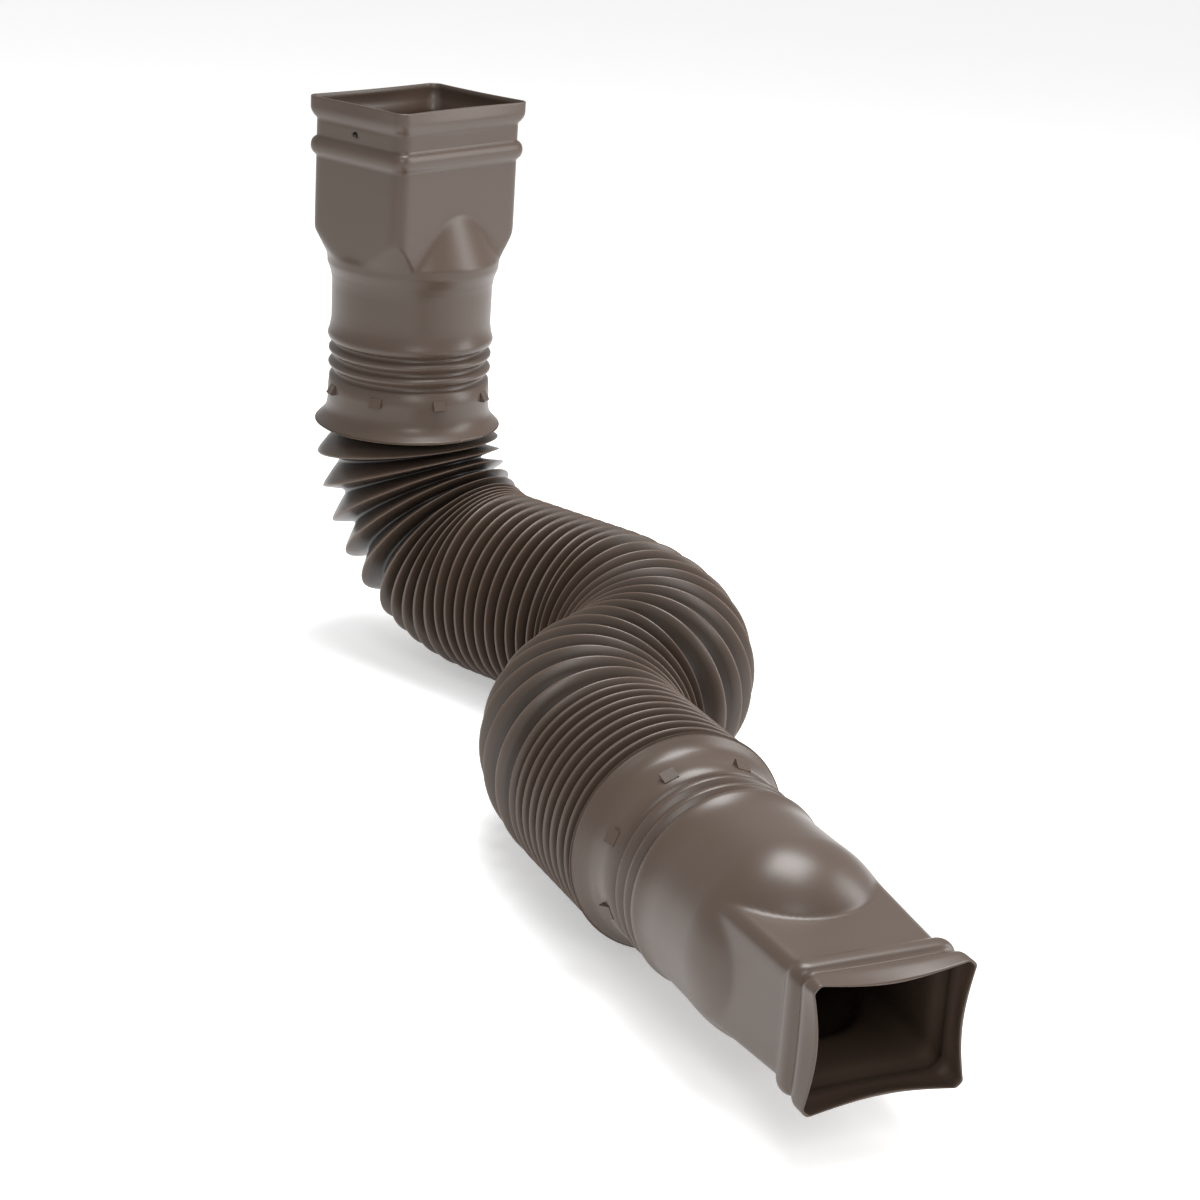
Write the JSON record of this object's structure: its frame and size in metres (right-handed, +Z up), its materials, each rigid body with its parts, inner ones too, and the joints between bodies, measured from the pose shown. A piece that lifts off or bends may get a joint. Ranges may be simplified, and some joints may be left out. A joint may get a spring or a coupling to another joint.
{
  "type": "downspout extension",
  "caption": "Flexible ribbed downspout extension in brown plastic, with a rectangular inlet standing up, bellows that snake along the ground and a smaller rectangular outlet.",
  "frame": {"origin": "centre of the inlet's mouth", "axes": "+Z up along the inlet's axis, out of its mouth; the outlet points along -Y; +X completes the frame"},
  "size_m": [0.2279, 0.7485, 0.3625],
  "materials": {
    "brown_plastic": "satin"
  },
  "bodies": {
    "root": {"downspout_extension": "brown_plastic"}
  },
  "joints": []
}
